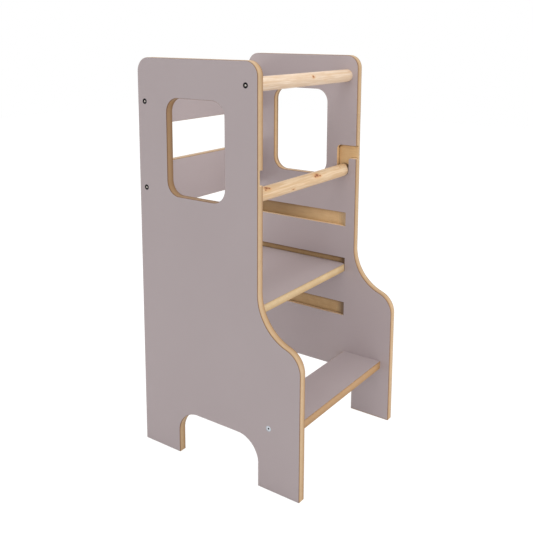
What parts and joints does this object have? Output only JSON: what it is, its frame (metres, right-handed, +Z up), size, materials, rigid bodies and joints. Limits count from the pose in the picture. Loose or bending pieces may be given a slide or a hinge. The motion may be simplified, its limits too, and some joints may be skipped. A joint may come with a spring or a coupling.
{
  "type": "toddler kitchen helper stool",
  "caption": "Standing tower for a small child: shaped side panels with windows, back rails, a step, a grab bar, a height-adjustable platform and a lift-out safety bar.",
  "frame": {"origin": "on the floor under the middle of the side panels", "axes": "+X across the tower to the child's left as it faces the front bars, +Y to the back rails, +Z up"},
  "size_m": [0.424, 0.4314, 0.9],
  "materials": {
    "laminate_board": "board with matt mauve-grey laminate faces and clear-varnished bare edges",
    "pine": "sanded pine with small knots, clear matt varnish",
    "zinc_steel": "zinc-plated",
    "beech": "plain turned beech"
  },
  "bodies": {
    "frame": {"side_panel_left": "laminate_board", "side_panel_right": "laminate_board", "upper_back_rail": "laminate_board", "lower_back_rail": "laminate_board", "step": "laminate_board", "grab_bar": "pine", "upper_rail_screw_left": "zinc_steel", "upper_rail_screw_right": "zinc_steel", "lower_rail_screw_left": "zinc_steel", "lower_rail_screw_right": "zinc_steel", "step_screw_left": "zinc_steel", "step_screw_right": "zinc_steel", "grab_bar_screw_left": "zinc_steel", "grab_bar_screw_right": "zinc_steel", "upper_rail_dowel_left_top": "beech", "upper_rail_dowel_left_bottom": "beech", "upper_rail_dowel_right_top": "beech", "upper_rail_dowel_right_bottom": "beech", "lower_rail_dowel_left_top": "beech", "lower_rail_dowel_left_bottom": "beech", "lower_rail_dowel_right_top": "beech", "lower_rail_dowel_right_bottom": "beech", "step_dowel_left_front": "beech", "step_dowel_left_back": "beech", "step_dowel_right_front": "beech", "step_dowel_right_back": "beech"},
    "platform": {"platform": "laminate_board"},
    "safety_bar": {"safety_bar": "pine"}
  },
  "joints": [
    {"name": "platform_lift", "type": "slide", "parent": "frame", "child": "platform", "axis": [0, 0, 1], "range_m": [0, 0.0155]},
    {"name": "safety_bar_lift", "type": "slide", "parent": "frame", "child": "safety_bar", "axis": [0, 0, 1], "range_m": [0, 0.047]}
  ]
}
